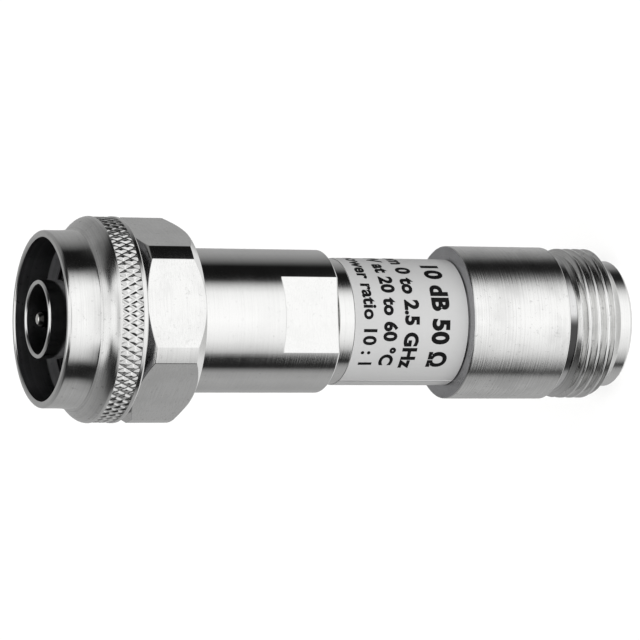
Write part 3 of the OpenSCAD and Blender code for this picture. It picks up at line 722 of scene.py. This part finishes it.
def printed_line(name, words, cap_mm, base_z, start_deg, weight):
    """Letters of cap height cap_mm wrapped on the label: angle = start - u / r, height = base - v."""
    letters = bpy.data.curves.new(name, "FONT")
    letters.body = words
    letters.size = cap_mm / CAP_SHARE
    letters.offset = weight
    letters.space_character = LETTER_SPACING
    letters.extrude = INK_HIGH / 2
    letters.resolution_u = 4
    source = bpy.data.objects.new(name + "_source", letters)
    bpy.context.scene.collection.objects.link(source)
    graph = bpy.context.evaluated_depsgraph_get()
    mesh = bpy.data.meshes.new_from_object(source.evaluated_get(graph))
    mesh.name = name
    bpy.data.objects.remove(source)
    cut = bmesh.new()
    cut.from_mesh(mesh)
    bmesh.ops.remove_doubles(cut, verts=cut.verts, dist=0.001)
    width = max(v.co.x for v in cut.verts)
    for u in np.arange(STRIP, width, STRIP):
        whole = cut.verts[:] + cut.edges[:] + cut.faces[:]
        bmesh.ops.bisect_plane(cut, geom=whole, plane_co=(u, 0, 0), plane_no=(1, 0, 0))
    cut.to_mesh(mesh)
    cut.free()
    flat = np.empty(len(mesh.vertices) * 3)
    mesh.vertices.foreach_get("co", flat)
    u, v, out = flat.reshape(-1, 3).T
    angle = toward_view + math.radians(start_deg) - u / LABEL_R
    radius = INK_R + INK_HIGH / 2 + out
    bent = np.stack([radius * np.cos(angle), radius * np.sin(angle), base_z - v], -1) * MM
    mesh.vertices.foreach_set("co", bent.ravel())
    mesh.update()
    piece = bpy.data.objects.new(name, mesh)
    bpy.context.scene.collection.objects.link(piece)
    mesh.materials.append(ink)
    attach(piece, "attenuator_body")
    print(name, "is", round(width, 2), "mm long and has", len(mesh.polygons), "faces")


printed_line("print_value", "10 dB 50 Ω", 1.9, label_bottom + 3.95, 66, 0.12)
printed_line("print_range", "from 0 to 2.5 GHz", 1.55, label_bottom + 7.05, 102, 0.1)
printed_line("print_power", "2 W at 20 to 60 °C", 1.45, label_bottom + 9.4, 102, 0.09)
printed_line("print_ratio", "power ratio 10 : 1", 1.45, label_bottom + 11.65, 90, 0.07)

# %% [markdown]
# The part stands on a plain pale sheet, large enough to fill the picture. It would also show in the
# metal, where the photograph has panels only, so it is kept out of reflections.

# %% Floor
REACH = 3.0
floor_mesh = bpy.data.meshes.new("pale_floor")
floor_corners = [(x * REACH, y * REACH, 0) for x, y in ((-1, -1), (1, -1), (1, 1), (-1, 1))]
floor_mesh.from_pydata(floor_corners, [], [(0, 1, 2, 3)])
floor = bpy.data.objects.new("pale_floor", floor_mesh)
bpy.context.scene.collection.objects.link(floor)
floor_mesh.materials.append(matt_stuff("pale_card", "#fdfdfc", "#fefefe", 0.9, 2.0, 0.001))
floor.visible_glossy = False
print("floor is", 2 * REACH, "m wide")

# %% [markdown]
# The part is lit as a product is in a studio: bright panels in front and above, dark gaps between them
# that draw the black bands down round metal, and grey walls behind. A world made from the direction of
# sight gives such panels without any lamp in the picture. The direction becomes an azimuth, counted
# from the camera's side, and an elevation.

# %% Directions of the studio world
world = bpy.data.worlds.new("studio")
bpy.context.scene.world = world
world.use_nodes = True
sky = world.node_tree
sight = add(sky, "TexCoord")
facing = add(sky, "VectorRotate", {"rotation_type": "Z_AXIS"}, {
    "Vector": sight.outputs["Generated"], "Angle": -VIEW_AZIMUTH})
axes = add(sky, "SeparateXYZ", None, {"Vector": facing.outputs["Vector"]})
flip = add(sky, "Math", {"operation": "MULTIPLY"}, {0: axes.outputs["Y"], 1: -1.0})
azimuth = add(sky, "Math", {"operation": "ARCTAN2"}, {0: axes.outputs["X"], 1: flip.outputs["Value"]})
sine = add(sky, "Math", {"operation": "ARCSINE"}, {0: axes.outputs["Z"]})
rise_deg = add(sky, "Math", {"operation": "DEGREES"}, {0: sine.outputs["Value"]}).outputs["Value"]


def between(low, high):
    """Share from 0 to 1 as the elevation goes from low to high degrees, with soft ends."""
    step = add(sky, "MapRange", {"interpolation_type": "SMOOTHSTEP"}, {
        "Value": rise_deg, "From Min": low, "From Max": high})
    return step.outputs["Result"]


def grey(level):
    """Neutral colour of one brightness."""
    return (level, level, level, 1)


def blend(share, first, second):
    """Colour that goes from first to second with the share."""
    return add(sky, "Mix", {"data_type": "RGBA"}, {0: share, 6: first, 7: second}).outputs[2]


def band(turn, stops):
    """Brightness by azimuth, from (degrees, level): place on the ramp = (degrees + 180) / 360."""
    placed = [((degrees + 180) / 360, level) for degrees, level in stops]
    return add(sky, "ValToRGB", {"stops": placed}, {"Fac": turn}).outputs["Color"]


print("nodes for the direction:", len(sky.nodes))

# %% [markdown]
# Each band below is one turn round the camera's side: grey wall, black gap, white panel, black gap, grey
# wall. An upright wall mirrors what lies as far below the horizon as the camera lies above it, so the
# first two bands are for the walls of the body and of the jack. The upper bands show in chamfers and
# shoulders, which tilt the view up.

# %% Panels and gaps of the studio world
# elevations in degrees between which one band passes into the next, and the levels of plain regions
TO_JACK, TO_UPPER, TO_HIGH = (-22.6, -24.2), (-19, 4), (30, 42)
TO_TOP, TO_UNDER = (59, 71), (-34, -48)
TOP_LEVEL, UNDER_LEVEL, TENT_LEVEL = 1.2, 0.95, 0.36
# the panels' edges lean, so a tilt of the metal along the axis moves the edge of a reflection
LEAN_LOW, LEAN_HIGH, LEAN_FROM, LEAN_TO = -29.0, -22.0, 0.85, 1.02
lean = add(sky, "MapRange", None, {
    "Value": rise_deg, "From Min": LEAN_LOW, "From Max": LEAN_HIGH,
    "To Min": LEAN_FROM, "To Max": LEAN_TO})
leaning = add(sky, "Math", {"operation": "MULTIPLY"}, {
    0: azimuth.outputs["Value"], 1: lean.outputs["Result"]})
wall_turn = add(sky, "MapRange", None, {
    "Value": leaning.outputs["Value"], "From Min": -math.pi, "From Max": math.pi}).outputs["Result"]
turn = add(sky, "MapRange", None, {
    "Value": azimuth.outputs["Value"], "From Min": -math.pi, "From Max": math.pi}).outputs["Result"]
body_band = band(wall_turn, [
    (-180, 0.42), (-140, 0.41), (-112, 0.47), (-94, 0.42), (-87, 0.26), (-81, 0.02), (-63, 0.015),
    (-58, 0.2), (-52, 0.6), (-45, 0.84), (-32, 1.13), (-15, 1.28), (0, 1.36), (32, 1.31), (46, 1.2),
    (55, 0.88), (62, 0.46), (68, 0.06), (72, 0.01), (100, 0.01), (107, 0.11), (113, 0.2), (125, 0.32),
    (142, 0.41), (180, 0.42)])
jack_band = band(wall_turn, [
    (-180, 0.42), (-157, 0.41), (-122, 0.5), (-100, 0.5), (-83, 0.42), (-78, 0.12), (-72, 0.06),
    (-68, 0.3), (-56, 0.68), (-40, 1.02), (-20, 1.22), (0, 1.34), (34, 1.29), (47, 1.12), (58, 0.8),
    (66, 0.35), (73, 0.1), (80, 0.02), (95, 0.02), (104, 0.1), (110, 0.24), (122, 0.34), (136, 0.46),
    (150, 0.46), (180, 0.42)])
upper_band = band(turn, [
    (-180, 0.4), (-143, 0.38), (-120, 0.31), (-100, 0.25), (-84, 0.08), (-64, 0.02), (-42, 0.04),
    (-34, 0.5), (-27, 1.0), (-22, 1.05), (-12, 0.85), (12, 0.85), (22, 1.05), (40, 1.2), (48, 0.84),
    (56, 0.1), (64, 0.02), (80, 0.02), (90, 0.07), (104, 0.22), (126, 0.3), (143, 0.36), (180, 0.4)])
high_band = band(turn, [
    (-180, 0.4), (-143, 0.36), (-110, 0.25), (-90, 0.15), (-75, 0.05), (-45, 0.05), (-36, 0.5),
    (-28, 1.05), (-15, 1.26), (15, 1.31), (40, 1.2), (50, 0.84), (58, 0.1), (70, 0.015), (85, 0.03),
    (100, 0.12), (126, 0.26), (143, 0.34), (180, 0.4)])
walls = blend(between(*TO_JACK), body_band, jack_band)
with_upper = blend(between(*TO_UPPER), walls, upper_band)
with_high = blend(between(*TO_HIGH), with_upper, high_band)
with_top = blend(between(*TO_TOP), with_high, grey(TOP_LEVEL))
with_under = blend(between(*TO_UNDER), with_top, grey(UNDER_LEVEL))
# matt surfaces are lit evenly from all sides, as in a light tent
path = add(sky, "LightPath")
tent = blend(path.outputs["Is Diffuse Ray"], with_under, grey(TENT_LEVEL))
sky.links.new(tent, sky.nodes["Background"].inputs["Color"])
print("world nodes:", len(sky.nodes))

# %% [markdown]
# The even light of the tent alone leaves the floor and the label too grey. A wide sun from the camera's
# side adds to them. It throws no shadow and is kept out of reflections, so the metal shows the panels
# alone.

# %% Soft front lamp for the floor and the label
LAMP_STRENGTH, LAMP_SPREAD, LAMP_TILT = 3.92, math.radians(60), math.radians(55)
lamp = bpy.data.lights.new("front_panel", "SUN")
lamp.energy = LAMP_STRENGTH
lamp.angle = LAMP_SPREAD
lamp.use_shadow = False
front = bpy.data.objects.new("front_panel", lamp)
front.rotation_euler = (LAMP_TILT, 0, VIEW_AZIMUTH)
front.visible_glossy = False
bpy.context.scene.collection.objects.link(front)
print("lamp strength:", LAMP_STRENGTH)

# %% [markdown]
# The photograph shows the part lying on its side, seen from in front of the plug's mouth. The part here
# stands upright, so the camera is rolled a quarter turn: its right-hand side points down the axis. A
# long lens gives the slight convergence that the photograph has.

# %% Camera
AIM_Z, AIM_UP, DISTANCE = 32.9, 0.14, 431.0
FOCAL_PX, IMAGE_PX, SENSOR = 4159, 640, 36
sin_a, cos_a = math.sin(VIEW_AZIMUTH), math.cos(VIEW_AZIMUTH)
sin_e, cos_e = math.sin(VIEW_ELEVATION), math.cos(VIEW_ELEVATION)
backward = np.array([sin_a * cos_e, -cos_a * cos_e, sin_e])
down_axis = np.array([sin_e * sin_a, -sin_e * cos_a, -cos_e])
sideways = np.array([cos_a, sin_a, 0])
right = math.cos(VIEW_ROLL) * down_axis + math.sin(VIEW_ROLL) * sideways
above = math.cos(VIEW_ROLL) * sideways - math.sin(VIEW_ROLL) * down_axis
place = np.eye(4)
place[:3, :3] = np.stack([right, above, backward], 1)
place[:3, 3] = (np.array([0, 0, AIM_Z]) + AIM_UP * above + DISTANCE * backward) * MM
view = bpy.data.cameras.new("view")
view.sensor_width = SENSOR
view.lens = SENSOR * FOCAL_PX / IMAGE_PX
view.clip_start, view.clip_end = 0.01, 20
camera = bpy.data.objects.new("view", view)
camera.matrix_world = place.T.tolist()
bpy.context.scene.collection.objects.link(camera)
bpy.context.scene.camera = camera
bpy.context.scene.view_settings.view_transform = "Standard"
print("camera at", [round(v, 4) for v in place[:3, 3]])
